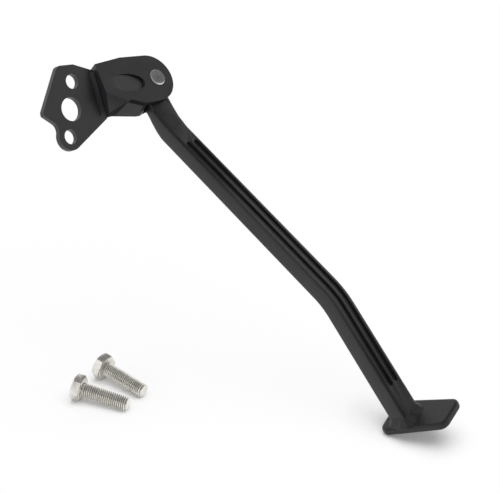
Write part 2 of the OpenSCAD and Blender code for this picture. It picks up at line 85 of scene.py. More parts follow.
def rampOver(nodeTree, stops):
    ramp = nodeTree.new("ShaderNodeValToRGB")
    ramp.color_ramp.elements[0].position = stops[0][0]
    ramp.color_ramp.elements[0].color = (*stops[0][1], 1)
    ramp.color_ramp.elements[1].position = stops[1][0]
    ramp.color_ramp.elements[1].color = (*stops[1][1], 1)
    return ramp


# distance from a straight line and the run along it, for the pin, the bolts and the leg's coat

def makeFromLine():
    group = bpy.data.node_groups.new("fromLine", "ShaderNodeTree")
    group.interface.new_socket("Point", in_out="INPUT", socket_type="NodeSocketVector")
    group.interface.new_socket("Along", in_out="INPUT", socket_type="NodeSocketVector")
    group.interface.new_socket("Radius", in_out="OUTPUT", socket_type="NodeSocketFloat")
    group.interface.new_socket("Run", in_out="OUTPUT", socket_type="NodeSocketFloat")
    tree, links = group.nodes, group.links
    start = tree.new("NodeGroupInput")
    end = tree.new("NodeGroupOutput")
    coords = tree.new("ShaderNodeTexCoord")
    offset = place(tree, "ShaderNodeVectorMath", operation="SUBTRACT")
    links.new(coords.outputs["Object"], offset.inputs[0])
    links.new(start.outputs["Point"], offset.inputs[1])
    across = place(tree, "ShaderNodeVectorMath", operation="CROSS_PRODUCT")
    radius = place(tree, "ShaderNodeVectorMath", operation="LENGTH")
    run = place(tree, "ShaderNodeVectorMath", operation="DOT_PRODUCT")
    for step in (across, run):
        links.new(offset.outputs[0], step.inputs[0])
        links.new(start.outputs["Along"], step.inputs[1])
    links.new(across.outputs[0], radius.inputs[0])
    links.new(radius.outputs["Value"], end.inputs["Radius"])
    links.new(run.outputs["Value"], end.inputs["Run"])
    return group


fromLine = makeFromLine()


def lineFrom(tree, point, along):
    line = tree.new("ShaderNodeGroup")
    line.node_tree = fromLine
    line.inputs["Point"].default_value = point
    line.inputs["Along"].default_value = along
    return line


def spanOf(tree, low, high, toLow=0.0, toHigh=1.0, blend="LINEAR"):
    span = place(tree, "ShaderNodeMapRange", interpolation_type=blend)
    span.inputs["From Min"].default_value = low
    span.inputs["From Max"].default_value = high
    span.inputs["To Min"].default_value = toLow
    span.inputs["To Max"].default_value = toHigh
    return span


# powder coat: cloudy tone, fine grain and an orange-peel height, used by every painted piece

grainLook = {"speckScale": 5200.0, "peelShare": 0.35, "speckShare": 0.3, "toneSpan": (0.4, 1.0)}


def makeCoatGrain(look):
    group = bpy.data.node_groups.new("coatGrain", "ShaderNodeTree")
    group.interface.new_socket("Peel Scale", in_out="INPUT", socket_type="NodeSocketFloat")
    group.interface.new_socket("Cloud Scale", in_out="INPUT", socket_type="NodeSocketFloat")
    group.interface.new_socket("Tone", in_out="OUTPUT", socket_type="NodeSocketFloat")
    group.interface.new_socket("Gloss", in_out="OUTPUT", socket_type="NodeSocketFloat")
    group.interface.new_socket("Height", in_out="OUTPUT", socket_type="NodeSocketFloat")
    tree, links = group.nodes, group.links
    start = tree.new("NodeGroupInput")
    end = tree.new("NodeGroupOutput")
    coords = tree.new("ShaderNodeTexCoord")
    cloud = place(tree, "ShaderNodeTexNoise", Detail=3.0, Roughness=0.6)
    peel = place(tree, "ShaderNodeTexNoise", Detail=2.0, Roughness=0.5)
    speck = place(tree, "ShaderNodeTexNoise", Detail=1.0, Scale=look["speckScale"])
    for texture in (cloud, peel, speck):
        links.new(coords.outputs["Object"], texture.inputs["Vector"])
    links.new(start.outputs["Cloud Scale"], cloud.inputs["Scale"])
    links.new(start.outputs["Peel Scale"], peel.inputs["Scale"])
    mixed = place(tree, "ShaderNodeMath", operation="MULTIPLY_ADD")
    links.new(peel.outputs["Fac"], mixed.inputs[0])
    mixed.inputs[1].default_value = look["peelShare"]
    links.new(cloud.outputs["Fac"], mixed.inputs[2])
    tone = spanOf(tree, *look["toneSpan"])
    links.new(mixed.outputs[0], tone.inputs["Value"])
    height = place(tree, "ShaderNodeMath", operation="MULTIPLY_ADD")
    links.new(speck.outputs["Fac"], height.inputs[0])
    height.inputs[1].default_value = look["speckShare"]
    links.new(peel.outputs["Fac"], height.inputs[2])
    links.new(tone.outputs["Result"], end.inputs["Tone"])
    links.new(cloud.outputs["Fac"], end.inputs["Gloss"])
    links.new(height.outputs[0], end.inputs["Height"])
    return group


coatGrain = makeCoatGrain(grainLook)
toneStops = (0.1, 0.9)  # where the dark and the light tone of a finish stand on its ramp

coatFinishes = {
    "headCoat": {"dark": (0.006, 0.0062, 0.007), "light": (0.012, 0.0125, 0.0136), "gloss": (0.34, 0.46),
                 "peel": 1500.0, "cloud": 60.0, "bump": 0.10, "shine": 0.63},
    "legCoat": {"dark": (0.007, 0.0072, 0.0079), "light": (0.014, 0.0142, 0.0153), "gloss": (0.33, 0.45),
                "peel": 1700.0, "cloud": 45.0, "bump": 0.09, "shine": 0.49,
                # painted highlight: a lighter tone midway along the leg's outer face
                "paintedHighlight": {"tone": (0.036, 0.0362, 0.038), "facing": (0.5, 0.95),
                           "rise": (55 * mm, 125 * mm), "fall": (255 * mm, 170 * mm)}},  # from the pivot
    "footCoat": {"dark": (0.009, 0.0092, 0.0099), "light": (0.017, 0.0172, 0.0184), "gloss": (0.36, 0.5),
                 "peel": 1700.0, "cloud": 45.0, "bump": 0.09, "shine": 0.33},
    # painted light: a lighter copy of the head's coat, for the head's end where it stands on the plate
    "rootLitCoat": {"dark": (0.026, 0.0266, 0.030), "light": (0.042, 0.0428, 0.047), "gloss": (0.46, 0.6),
                 "peel": 1300.0, "cloud": 60.0, "bump": 0.12, "shine": 0.5},
    "coveCoat": {"dark": (0.012, 0.0124, 0.0138), "light": (0.022, 0.0226, 0.025), "gloss": (0.44, 0.58),
                 "peel": 1300.0, "cloud": 60.0, "bump": 0.14, "shine": 0.56},
    # painted shade: a copy of the head's coat that hardly mirrors, for the head's underside
    "undersideShadedCoat": {"dark": (0.008, 0.0083, 0.0092), "light": (0.015, 0.0156, 0.017), "gloss": (0.6, 0.75),
                      "peel": 1200.0, "cloud": 60.0, "bump": 0.16, "shine": 0.06},
    "weldCoat": {"dark": (0.008, 0.0082, 0.009), "light": (0.020, 0.0202, 0.0215), "gloss": (0.40, 0.55),
                 "peel": 700.0, "cloud": 180.0, "bump": 0.30, "shine": 0.42},
}


def paintedHighlightMask(tree, links, paintedHighlight):
    # midway along the leg, on the face turned the way of the pivot axis, the coat is painted lighter: a painted
    # highlight
    line = lineFrom(tree, pivot, pivotAxis)
    coords = tree.new("ShaderNodeTexCoord")
    facing = place(tree, "ShaderNodeVectorMath", operation="DOT_PRODUCT")
    facing.inputs[1].default_value = pivotAxis
    links.new(coords.outputs["Normal"], facing.inputs[0])
    outer = spanOf(tree, *paintedHighlight["facing"])
    links.new(facing.outputs["Value"], outer.inputs["Value"])
    mask = outer.outputs["Result"]
    for low, high in (paintedHighlight["rise"], paintedHighlight["fall"]):
        span = spanOf(tree, low, high, blend="SMOOTHSTEP")
        links.new(line.outputs["Radius"], span.inputs["Value"])
        both = place(tree, "ShaderNodeMath", operation="MULTIPLY")
        links.new(mask, both.inputs[0])
        links.new(span.outputs["Result"], both.inputs[1])
        mask = both.outputs[0]
    return mask


def makeCoat(name, finish):
    material, tree, links = newMaterial(name)
    shader = tree["Principled BSDF"]
    shader.inputs["Specular IOR Level"].default_value = finish["shine"]
    grain = tree.new("ShaderNodeGroup")
    grain.node_tree = coatGrain
    grain.inputs["Peel Scale"].default_value = finish["peel"]
    grain.inputs["Cloud Scale"].default_value = finish["cloud"]
    colour = rampOver(tree, list(zip(toneStops, (finish["dark"], finish["light"]))))
    rough = spanOf(tree, 0.0, 1.0, *finish["gloss"])
    bump = place(tree, "ShaderNodeBump", Strength=finish["bump"], Distance=0.3 * mm)
    links.new(grain.outputs["Tone"], colour.inputs["Fac"])
    # the painted highlight is mixed into the coat's colour where its mask is set
    if "paintedHighlight" in finish:
        mix = place(tree, "ShaderNodeMix", data_type="RGBA")  # its colour sockets are 6 and 7, and 2 on the way out
        links.new(paintedHighlightMask(tree, links, finish["paintedHighlight"]), mix.inputs[0])
        links.new(colour.outputs["Color"], mix.inputs[6])
        mix.inputs[7].default_value = (*finish["paintedHighlight"]["tone"], 1)
        links.new(mix.outputs[2], shader.inputs["Base Color"])
    else:
        links.new(colour.outputs["Color"], shader.inputs["Base Color"])
    links.new(grain.outputs["Gloss"], rough.inputs["Value"])
    links.new(rough.outputs["Result"], shader.inputs["Roughness"])
    links.new(grain.outputs["Height"], bump.inputs["Height"])
    links.new(bump.outputs["Normal"], shader.inputs["Normal"])
    return material


coats = {name: makeCoat(name, finish) for name, finish in coatFinishes.items()}
print("coats:", ", ".join(coats))


# bare metals: fine scratches that run one way, over a slowly changing tone

scratchLook = {"scale": 900.0, "cloudScale": 220.0, "scratchShare": 0.6, "toneSpan": (0.5, 1.1)}


def makeScratches(look):
    group = bpy.data.node_groups.new("metalScratches", "ShaderNodeTree")
    group.interface.new_socket("Stretch", in_out="INPUT", socket_type="NodeSocketVector")
    group.interface.new_socket("Tone", in_out="OUTPUT", socket_type="NodeSocketFloat")
    group.interface.new_socket("Height", in_out="OUTPUT", socket_type="NodeSocketFloat")
    tree, links = group.nodes, group.links
    start = tree.new("NodeGroupInput")
    end = tree.new("NodeGroupOutput")
    coords = tree.new("ShaderNodeTexCoord")
    stretched = place(tree, "ShaderNodeVectorMath", operation="MULTIPLY")
    links.new(coords.outputs["Object"], stretched.inputs[0])
    links.new(start.outputs["Stretch"], stretched.inputs[1])
    scratch = place(tree, "ShaderNodeTexNoise", Scale=look["scale"], Detail=4.0, Roughness=0.65)
    links.new(stretched.outputs[0], scratch.inputs["Vector"])
    cloud = place(tree, "ShaderNodeTexNoise", Scale=look["cloudScale"], Detail=2.0)
    links.new(coords.outputs["Object"], cloud.inputs["Vector"])
    tone = place(tree, "ShaderNodeMath", operation="MULTIPLY_ADD")
    links.new(scratch.outputs["Fac"], tone.inputs[0])
    tone.inputs[1].default_value = look["scratchShare"]
    links.new(cloud.outputs["Fac"], tone.inputs[2])
    spread = spanOf(tree, *look["toneSpan"])
    links.new(tone.outputs[0], spread.inputs["Value"])
    links.new(spread.outputs["Result"], end.inputs["Tone"])
    links.new(scratch.outputs["Fac"], end.inputs["Height"])
    return group


metalScratches = makeScratches(scratchLook)

metalFinishes = {
    "turnedSteel": {"dark": (0.20, 0.20, 0.20), "light": (0.33, 0.33, 0.325), "gloss": (0.34, 0.48),
                    "stretch": (1.0, 1.0, 0.4), "bump": 0.05},
    "springSteel": {"dark": (0.22, 0.22, 0.225), "light": (0.40, 0.40, 0.405), "gloss": (0.25, 0.4),
                    "stretch": (0.5, 1.0, 1.0), "bump": 0.05},
    "bushBronze": {"dark": (0.36, 0.225, 0.09), "light": (0.55, 0.36, 0.16), "gloss": (0.32, 0.5),
                   "stretch": (1.0, 0.6, 1.0), "bump": 0.07},
}


def makeMetal(name, finish):
    material, tree, links = newMaterial(name)
    shader = tree["Principled BSDF"]
    shader.inputs["Metallic"].default_value = 1.0
    marks = tree.new("ShaderNodeGroup")
    marks.node_tree = metalScratches
    marks.inputs["Stretch"].default_value = finish["stretch"]
    colour = rampOver(tree, list(zip(toneStops, (finish["dark"], finish["light"]))))
    rough = spanOf(tree, 0.0, 1.0, *finish["gloss"])
    bump = place(tree, "ShaderNodeBump", Strength=finish["bump"], Distance=0.1 * mm)
    links.new(marks.outputs["Tone"], colour.inputs["Fac"])
    links.new(colour.outputs["Color"], shader.inputs["Base Color"])
    links.new(marks.outputs["Tone"], rough.inputs["Value"])
    links.new(rough.outputs["Result"], shader.inputs["Roughness"])
    links.new(marks.outputs["Height"], bump.inputs["Height"])
    links.new(bump.outputs["Normal"], shader.inputs["Normal"])
    return material


metals = {name: makeMetal(name, finish) for name, finish in metalFinishes.items()}

# the rim colour is a painted highlight on the chamfer round the pin's end
pinFinish = {"faceRadius": 5.1 * mm, "rimWidth": 0.5 * mm, "wornShare": 0.5, "dark": (0.16, 0.16, 0.162),
             "light": (0.35, 0.35, 0.352), "rim": (0.86, 0.85, 0.83), "stretch": (1.0, 1.0, 1.0),
             "rings": 9000.0, "gloss": 0.42, "bump": 0.12}


def makePinSteel(finish):
    # distance from the pin's own line drives the lathe rings and a painted highlight, the bright rim on the end's
    # chamfer
    material, tree, links = newMaterial("pinSteel")
    shader = tree["Principled BSDF"]
    shader.inputs["Metallic"].default_value = 1.0
    shader.inputs["Roughness"].default_value = finish["gloss"]
    line = lineFrom(tree, pivot, pivotAxis)
    rim = spanOf(tree, finish["faceRadius"] - finish["rimWidth"], finish["faceRadius"] + finish["rimWidth"])
    links.new(line.outputs["Radius"], rim.inputs["Value"])
    marks = tree.new("ShaderNodeGroup")
    marks.node_tree = metalScratches
    marks.inputs["Stretch"].default_value = finish["stretch"]
    worn = place(tree, "ShaderNodeMath", operation="MULTIPLY")
    worn.inputs[1].default_value = finish["wornShare"]
    links.new(marks.outputs["Tone"], worn.inputs[0])
    tone = place(tree, "ShaderNodeMath", operation="MAXIMUM")
    links.new(worn.outputs[0], tone.inputs[0])
    links.new(rim.outputs["Result"], tone.inputs[1])
    colour = rampOver(tree, [(0.0, finish["dark"]), (1.0, finish["rim"])])
    colour.color_ramp.elements.new(finish["wornShare"]).color = (*finish["light"], 1)
    links.new(tone.outputs[0], colour.inputs["Fac"])
    links.new(colour.outputs["Color"], shader.inputs["Base Color"])
    wave = place(tree, "ShaderNodeMath", operation="MULTIPLY")
    wave.inputs[1].default_value = finish["rings"]
    links.new(line.outputs["Radius"], wave.inputs[0])
    rings = place(tree, "ShaderNodeMath", operation="SINE")
    links.new(wave.outputs[0], rings.inputs[0])
    bump = place(tree, "ShaderNodeBump", Strength=finish["bump"], Distance=0.05 * mm)
    links.new(rings.outputs[0], bump.inputs["Height"])
    links.new(bump.outputs["Normal"], shader.inputs["Normal"])
    return material


metals["pinSteel"] = makePinSteel(pinFinish)
print("metals:", ", ".join(metals))


# painted pieces: the frame's solids with eased edges

solidCopy = {"merge": 0.002 * mm, "flatAngle": 0.4, "upFacing": 0.3}


def dress(obj, material):
    obj.data.materials.clear()
    obj.data.materials.append(material)


def addPiece(bm, name, body, material, standsFor):
    mesh = bpy.data.meshes.new(name)
    bm.to_mesh(mesh)
    bm.free()
    piece = bpy.data.objects.new(name, mesh)
    bpy.context.scene.collection.objects.link(piece)
    dress(piece, material)
    if body:
        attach(piece, body)
    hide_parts(standsFor)
    return piece


def solidOf(nodeName):
    bm = bmesh.new()
    bm.from_mesh(nodes[nodeName].data)
    bmesh.ops.remove_doubles(bm, verts=bm.verts, dist=solidCopy["merge"])
    bmesh.ops.dissolve_limit(bm, angle_limit=math.radians(solidCopy["flatAngle"]), verts=bm.verts, edges=bm.edges)
    for face in bm.faces:
        face.smooth = True
    return bm


def solidTree(nodeName):
    bm = solidOf(nodeName)
    tree = BVHTree.FromBMesh(bm)
    bm.free()
    return tree


def topPlane(nodeName):
    bm = solidOf(nodeName)
    upward = [face for face in bm.faces if face.normal.z > solidCopy["upFacing"]]
    top = max(upward, key=lambda face: face.calc_area())
    up, level = top.normal.copy(), top.calc_center_median().dot(top.normal)
    bm.free()
    return up, level


def cutLand(bm, height):
    # the cove ends in a narrow land, the head's side stands bare above it
    up, level = topPlane("mount_plate")
    bmesh.ops.bisect_plane(bm, geom=bm.verts[:] + bm.edges[:] + bm.faces[:], plane_co=up * (level + height),
                           plane_no=up, clear_outer=True)
    bmesh.ops.holes_fill(bm, edges=[edge for edge in bm.edges if edge.is_boundary])
    bmesh.ops.recalc_face_normals(bm, faces=bm.faces)


def roundLips(bm, make):
    # the leg's grooves are opened a little wider than the solid's, and their lips are rounded
    lips = []
    for edge in bm.edges:
        tilts = sorted(face.normal.dot(pivotAxis) for face in edge.link_faces)
        atLip = tilts[0] > make["wallTilt"] and tilts[-1] > make["faceTilt"]
        if edge.is_convex and atLip and edge.calc_face_angle() > math.radians(make["fromAngle"]):
            lips.append(edge)
    walls = {face for edge in lips for face in edge.link_faces if face.normal.dot(pivotAxis) < make["faceTilt"]}
    for vert in {vert for face in walls for vert in face.verts}:
        inward = sum((face.normal for face in vert.link_faces if face in walls), Vector())
        inward -= pivotAxis * inward.dot(pivotAxis)
        vert.co -= inward.normalized() * make["wider"]
    bmesh.ops.bevel(bm, geom=lips, offset=make["round"], offset_type="OFFSET", affect="EDGES", segments=3,
                    profile=0.5, material=-1, clamp_overlap=False)
    print("groove lips rounded:", len(lips))


def easeEdges(piece, width, fromAngle):
    piece.data.set_sharp_from_angle(angle=math.radians(fromAngle))
    bevel = piece.modifiers.new("easedEdges", "BEVEL")
    bevel.width = width
    bevel.segments = 3
    bevel.profile = 0.5
    bevel.limit_method = "ANGLE"
    bevel.angle_limit = math.radians(fromAngle)
    bevel.harden_normals = True
    bevel.material = -1


easedPieces = {
    "mount_plate": {"name": "plateFace", "body": "bracket", "coat": "headCoat", "slot": "black_paint",
                    "ease": 1.2 * mm, "fromAngle": 32},
    "clevis_head": {"name": "forkedHead", "body": "bracket", "coat": "headCoat", "slot": "black_paint",
                    "ease": 0.9 * mm, "fromAngle": 25},
    "leg": {"name": "standLeg", "body": "leg", "coat": "legCoat", "slot": "leg_paint",
            "ease": 0.35 * mm, "fromAngle": 33,
            "lips": {"wider": 0.4 * mm, "round": 0.4 * mm, "wallTilt": 0.05, "faceTilt": 0.9, "fromAngle": 40}},
    "foot_plate": {"name": "footPad", "body": "leg", "coat": "footCoat", "slot": "leg_paint",
                   "ease": 0.9 * mm, "fromAngle": 20},
    "bracket_weld_front": {"name": "coveWeldOuter", "body": "bracket", "coat": "coveCoat",
                           "slot": "black_paint", "ease": 0.25 * mm, "fromAngle": 30, "land": 1.5 * mm},
    "bracket_weld_rear": {"name": "coveWeldInner", "body": "bracket", "coat": "headCoat",
                          "slot": "black_paint", "ease": 0.2 * mm, "fromAngle": 30},
}
for nodeName, make in easedPieces.items():
    bm = solidOf(nodeName)
    if "land" in make:
        cutLand(bm, make["land"])
    if "lips" in make:
        roundLips(bm, make["lips"])
    piece = addPiece(bm, make["name"], make["body"], coats[make["coat"]], nodeName)
    easeEdges(piece, make["ease"], make["fromAngle"])
print("eased pieces:", len(easedPieces))

headFaces = {
    "undersideShadedCoat": {"toward": headDown, "share": 0.9},  # painted shade: the head's underside mirrors little, as if it lay in the shade under the head
    "rootLitCoat": {"toward": slideAxis, "share": 0.85},  # painted light: the head's end, where it stands on the plate, gets a lighter copy of the coat
}
head = bpy.data.objects["forkedHead"].data
for index, (coat, pick) in enumerate(headFaces.items(), start=1):
    head.materials.append(coats[coat])
    for polygon in head.polygons:
        if polygon.normal.dot(pick["toward"]) > pick["share"]:
            polygon.material_index = index
print("head faces coated:", ", ".join(headFaces))


# foot weld: a bead run round the leg where it stands on the foot, uneven as laid metal is

footBead = {"around": 144, "steps": 8, "height": 4.4 * mm, "width": 3.5 * mm, "hollow": 0.3, "uneven": 0.24,
            "unevenScale": 170.0, "widthShift": (5, 3, 1), "ripple": 0.2 * mm, "rippleScale": 420.0,
            "sunk": 0.5 * mm, "castFrom": 40 * mm, "castLift": 0.1 * mm, "smoothing": 5, "sharpAngle": 70,
            "sew": 0.001 * mm}


def layFootBead(make):
    legTree = solidTree("leg")
    up, level = topPlane("foot_plate")
    corners = [vert.co.copy() for vert in nodes["foot_weld"].data.vertices]
    middle = sum(corners, Vector()) / len(corners)
    middle -= up * (middle.dot(up) - level)
    side = up.orthogonal().normalized()
    ahead = up.cross(side)

    def onLeg(direction, lift):
        start = middle + direction * make["castFrom"] + up * lift
        return legTree.ray_cast(start, -direction, make["castFrom"])

    spokes = []
    for i in range(make["around"]):
        turn = 2 * math.pi * i / make["around"]
        spokes.append(side * math.cos(turn) + ahead * math.sin(turn))
    outward = [onLeg(spoke, make["castLift"])[1] for spoke in spokes]
    outward = [(normal - up * normal.dot(up)).normalized() for normal in outward]
    for _ in range(make["smoothing"]):
        outward = [(outward[i - 1] + outward[i] * 2 + outward[(i + 1) % len(outward)]).normalized()
                   for i in range(len(outward))]
    rings = []
    for spoke, normal in zip(spokes, outward):
        foot = onLeg(spoke, make["castLift"])[0]
        wave = noise.noise(foot * make["unevenScale"])
        climb = onLeg(spoke, make["height"] * (1 + make["uneven"] * wave))[0]
        spread = noise.noise(foot * make["unevenScale"] + Vector(make["widthShift"]))
        reach = make["width"] * (1 + make["uneven"] * spread)
        points = [climb - normal * make["sunk"]]
        for k in range(make["steps"] + 1):
            t = k / make["steps"]
            out = t + make["hollow"] * (1 - math.cos(t * math.pi / 2) - t)
            high = 1 - t + make["hollow"] * (t - math.sin(t * math.pi / 2))
            point = foot.lerp(climb, high) + normal * reach * out
            lump = noise.noise(point * make["rippleScale"]) * make["ripple"] * math.sin(t * math.pi)
            points.append(point + (normal + up) * lump)
        points.append(foot + normal * reach - up * make["sunk"])
        points.append(foot - normal * make["sunk"] - up * make["sunk"])
        rings.append(points)
    # a flat grid is wrapped round the leg, one ring of points to a column, and sewn up along both seams
    bm = bmesh.new()
    columns, rows = len(rings), len(rings[0])
    bmesh.ops.create_grid(bm, x_segments=columns, y_segments=rows, size=1.0)
    for vert in bm.verts:
        column, row = round((vert.co.x + 1) / 2 * columns), round((vert.co.y + 1) / 2 * rows)
        vert.co = rings[column % columns][row % rows]
    bmesh.ops.remove_doubles(bm, verts=bm.verts, dist=make["sew"])
    bmesh.ops.recalc_face_normals(bm, faces=bm.faces)
    for face in bm.faces:
        face.smooth = True
    piece = addPiece(bm, "footBead", "leg", coats["weldCoat"], "foot_weld")
    piece.data.set_sharp_from_angle(angle=math.radians(make["sharpAngle"]))


layFootBead(footBead)
print("foot bead laid")


# bolts: heads from the frame, threads wound on

bolt = {"shank": 5.0 * mm, "radius": 4.98 * mm, "root": 4.08 * mm, "pitch": 1.5 * mm, "length": 35.0 * mm,
        "flats": 17.0 * mm, "runIn": 0.2 * mm, "tipChamfer": 1.0 * mm, "steps": 36, "headCut": 0.5 * mm,
        "headEase": 0.3 * mm, "headAngle": 40, "seatLevel": 0.1 * mm, "collar": 7.9 * mm, "collarRise": 0.5 * mm,
        "collarSides": 48, "merge": 0.01 * mm, "sharpAngle": 15,
        "profile": (("root", 0.0), ("root", 0.14), ("radius", 0.46), ("radius", 0.60), ("root", 0.92), ("root", 1.0))}
# painted shade and highlight: the root colour darkens the thread's hollows, the crest colour lightens its ridges
boltFinish = {"root": (0.29, 0.281, 0.262), "dark": (0.62, 0.60, 0.555), "light": (0.87, 0.845, 0.797),
              "crest": (0.97, 0.94, 0.885), "darkAt": 0.35, "lightAt": 0.75, "gloss": (0.16, 0.26),
              "stretch": (1.0, 1.0, 0.25), "bump": 0.02, "crestSpan": (0.02 * mm, 0.4 * mm), "tipEnd": 0.1 * mm,
              "neckSpan": (0.8 * mm, 2.2 * mm), "toneSpread": 0.4, "toneFloor": 0.35, "shankTone": 1.35,
              "bareSpan": (-0.3 * mm, 0.1 * mm), "threadBare": 0.66}
boltPoses = {
    "mounting_bolt_upper": {"name": "boltUpper", "at": (26.3 * mm, -36.0 * mm), "heading": -40.6},
    "mounting_bolt_lower": {"name": "boltLower", "at": (9.6 * mm, -60.8 * mm), "heading": -23.2},
}


def boltMatrix(pose):
    tilt = math.atan((bolt["flats"] / 2 - bolt["shank"]) / bolt["length"])  # it lies on its head and its tip
    rise = bolt["flats"] / 2 * math.cos(tilt)
    turn = Matrix.Rotation(math.radians(pose["heading"]), 4, "Z") @ Matrix.Rotation(tilt + math.pi / 2, 4, "Y")
    return Matrix.Translation((*pose["at"], groundZ + rise)) @ turn


def makeBoltSteel(name, seat, finish):
    # painted shade between the thread's ridges and a painted highlight on them, plainer on the head
    material, tree, links = newMaterial(name)
    shader = tree["Principled BSDF"]
    marks = tree.new("ShaderNodeGroup")
    marks.node_tree = metalScratches
    marks.inputs["Stretch"].default_value = finish["stretch"]
    line = lineFrom(tree, seat.translation, seat.to_3x3() @ Vector((0, 0, 1)))
    # painted highlight on the crests, the tip's chamfer and the neck, painted shade in the roots between the crests;
    # the bright neck is painted light over the head's shade
    crest = spanOf(tree, *(bolt["root"] + rise for rise in finish["crestSpan"]))
    tip = spanOf(tree, bolt["length"] - bolt["tipChamfer"], bolt["length"] - finish["tipEnd"])
    neck = spanOf(tree, *finish["neckSpan"], toLow=1.0, toHigh=0.0)
    ends = place(tree, "ShaderNodeMath", operation="MAXIMUM")
    paintedLightMask = place(tree, "ShaderNodeMath", operation="MAXIMUM")
    lift = place(tree, "ShaderNodeMath", operation="MULTIPLY_ADD")
    lift.inputs[1].default_value = finish["toneSpread"]
    lift.inputs[2].default_value = finish["toneFloor"]
    shank = spanOf(tree, bolt["collarRise"], 2 * bolt["collarRise"], toLow=1.0, toHigh=finish["shankTone"])
    bareMetal = spanOf(tree, *finish["bareSpan"], toLow=1.0, toHigh=finish["threadBare"])
    polished = place(tree, "ShaderNodeMath", operation="MULTIPLY")
    tone = place(tree, "ShaderNodeMath", operation="MULTIPLY")
    colour = rampOver(tree, [(0.0, finish["root"]), (1.0, finish["crest"])])
    for shade in ("dark", "light"):
        colour.color_ramp.elements.new(finish[shade + "At"]).color = (*finish[shade], 1)
    rough = spanOf(tree, 0.0, 1.0, *finish["gloss"])
    bump = place(tree, "ShaderNodeBump", Strength=finish["bump"], Distance=0.1 * mm)
    links.new(line.outputs["Radius"], crest.inputs["Value"])
    links.new(line.outputs["Run"], tip.inputs["Value"])
    links.new(line.outputs["Run"], neck.inputs["Value"])
    links.new(tip.outputs["Result"], ends.inputs[0])
    links.new(neck.outputs["Result"], ends.inputs[1])
    links.new(crest.outputs["Result"], paintedLightMask.inputs[0])
    links.new(ends.outputs[0], paintedLightMask.inputs[1])
    links.new(marks.outputs["Tone"], lift.inputs[0])
    links.new(line.outputs["Run"], shank.inputs["Value"])
    links.new(line.outputs["Run"], bareMetal.inputs["Value"])
    links.new(bareMetal.outputs["Result"], shader.inputs["Metallic"])
    links.new(lift.outputs[0], polished.inputs[0])
    links.new(shank.outputs["Result"], polished.inputs[1])
    links.new(polished.outputs[0], tone.inputs[0])
    links.new(paintedLightMask.outputs[0], tone.inputs[1])
    links.new(tone.outputs[0], colour.inputs["Fac"])
    links.new(colour.outputs["Color"], shader.inputs["Base Color"])
    links.new(marks.outputs["Tone"], rough.inputs["Value"])
    links.new(rough.outputs["Result"], shader.inputs["Roughness"])
    links.new(marks.outputs["Height"], bump.inputs["Height"])
    links.new(bump.outputs["Normal"], shader.inputs["Normal"])
    return material


def windThread(bm, make):
    # one pitch of the thread's profile, wound up the bolt's own z axis
    verts = [bm.verts.new((make[size], 0, (share - 1) * make["pitch"])) for size, share in make["profile"]]
    edges = [bm.edges.new(pair) for pair in zip(verts, verts[1:])]
    turns = math.ceil(make["length"] / make["pitch"]) + 2
    bmesh.ops.spin(bm, geom=verts + edges, cent=(0, 0, 0), axis=(0, 0, 1), angle=2 * math.pi * turns,
                   dvec=(0, 0, make["pitch"] / make["steps"]), steps=make["steps"] * turns, use_merge=False)
    bmesh.ops.remove_doubles(bm, verts=bm.verts, dist=make["merge"])
    top = make["length"] - make["tipChamfer"]
    for vert in bm.verts:
        if vert.co.z > top:
            reach = Vector((vert.co.x, vert.co.y, 0)).length
            limit = make["radius"] - (vert.co.z - top)
            if reach > limit > 0:
                vert.co.x *= limit / reach
                vert.co.y *= limit / reach
    for height, keepAbove in ((make["length"], False), (make["runIn"], True)):
        bmesh.ops.bisect_plane(bm, geom=bm.verts[:] + bm.edges[:] + bm.faces[:], plane_co=(0, 0, height),
                               plane_no=(0, 0, 1), clear_outer=not keepAbove, clear_inner=keepAbove)
        rim = [edge for edge in bm.edges if edge.is_boundary
               and all(abs(vert.co.z - height) < make["merge"] for vert in edge.verts)]
        bmesh.ops.holes_fill(bm, edges=rim)
    bmesh.ops.recalc_face_normals(bm, faces=bm.faces)


def makeBolt(nodeName, pose):
    seat = boltMatrix(pose)
    bm = solidOf(nodeName)
    bmesh.ops.transform(bm, matrix=seat.inverted(), verts=bm.verts)
    bmesh.ops.bisect_plane(bm, geom=bm.verts[:] + bm.edges[:] + bm.faces[:], plane_co=(0, 0, bolt["headCut"]),
                           plane_no=(0, 0, 1), clear_outer=True)
    bmesh.ops.holes_fill(bm, edges=[edge for edge in bm.edges if edge.is_boundary])
    sharp = [edge for edge in bm.edges if edge.is_manifold
             and edge.calc_face_angle(0) > math.radians(bolt["headAngle"])
             and max(vert.co.z for vert in edge.verts) < bolt["seatLevel"]]
    bmesh.ops.bevel(bm, geom=sharp, offset=bolt["headEase"], offset_type="OFFSET", affect="EDGES", segments=2,
                    profile=0.5, material=-1, clamp_overlap=True)
    bmesh.ops.create_cone(bm, cap_ends=True, segments=bolt["collarSides"], radius1=bolt["collar"],
                          radius2=bolt["collar"] - bolt["collarRise"], depth=bolt["collarRise"],
                          matrix=Matrix.Translation((0, 0, bolt["collarRise"] / 2)))
    thread = bmesh.new()
    windThread(thread, bolt)
    threadMesh = bpy.data.meshes.new(pose["name"] + "Thread")
    thread.to_mesh(threadMesh)
    thread.free()
    bm.from_mesh(threadMesh)
    bpy.data.meshes.remove(threadMesh)
    for face in bm.faces:
        face.smooth = True
    bmesh.ops.transform(bm, matrix=seat, verts=bm.verts)
    steel = makeBoltSteel(pose["name"] + "Steel", seat, boltFinish)
    piece = addPiece(bm, pose["name"], "bracket", steel, nodeName)
    piece.data.set_sharp_from_angle(angle=math.radians(bolt["sharpAngle"]))


for nodeName, pose in boltPoses.items():
    makeBolt(nodeName, pose)
print("bolts threaded:", len(boltPoses))


# catch spring, held by the plug at one end and by the plunger at the other: the frame's solid in spring steel, fixed
# in place

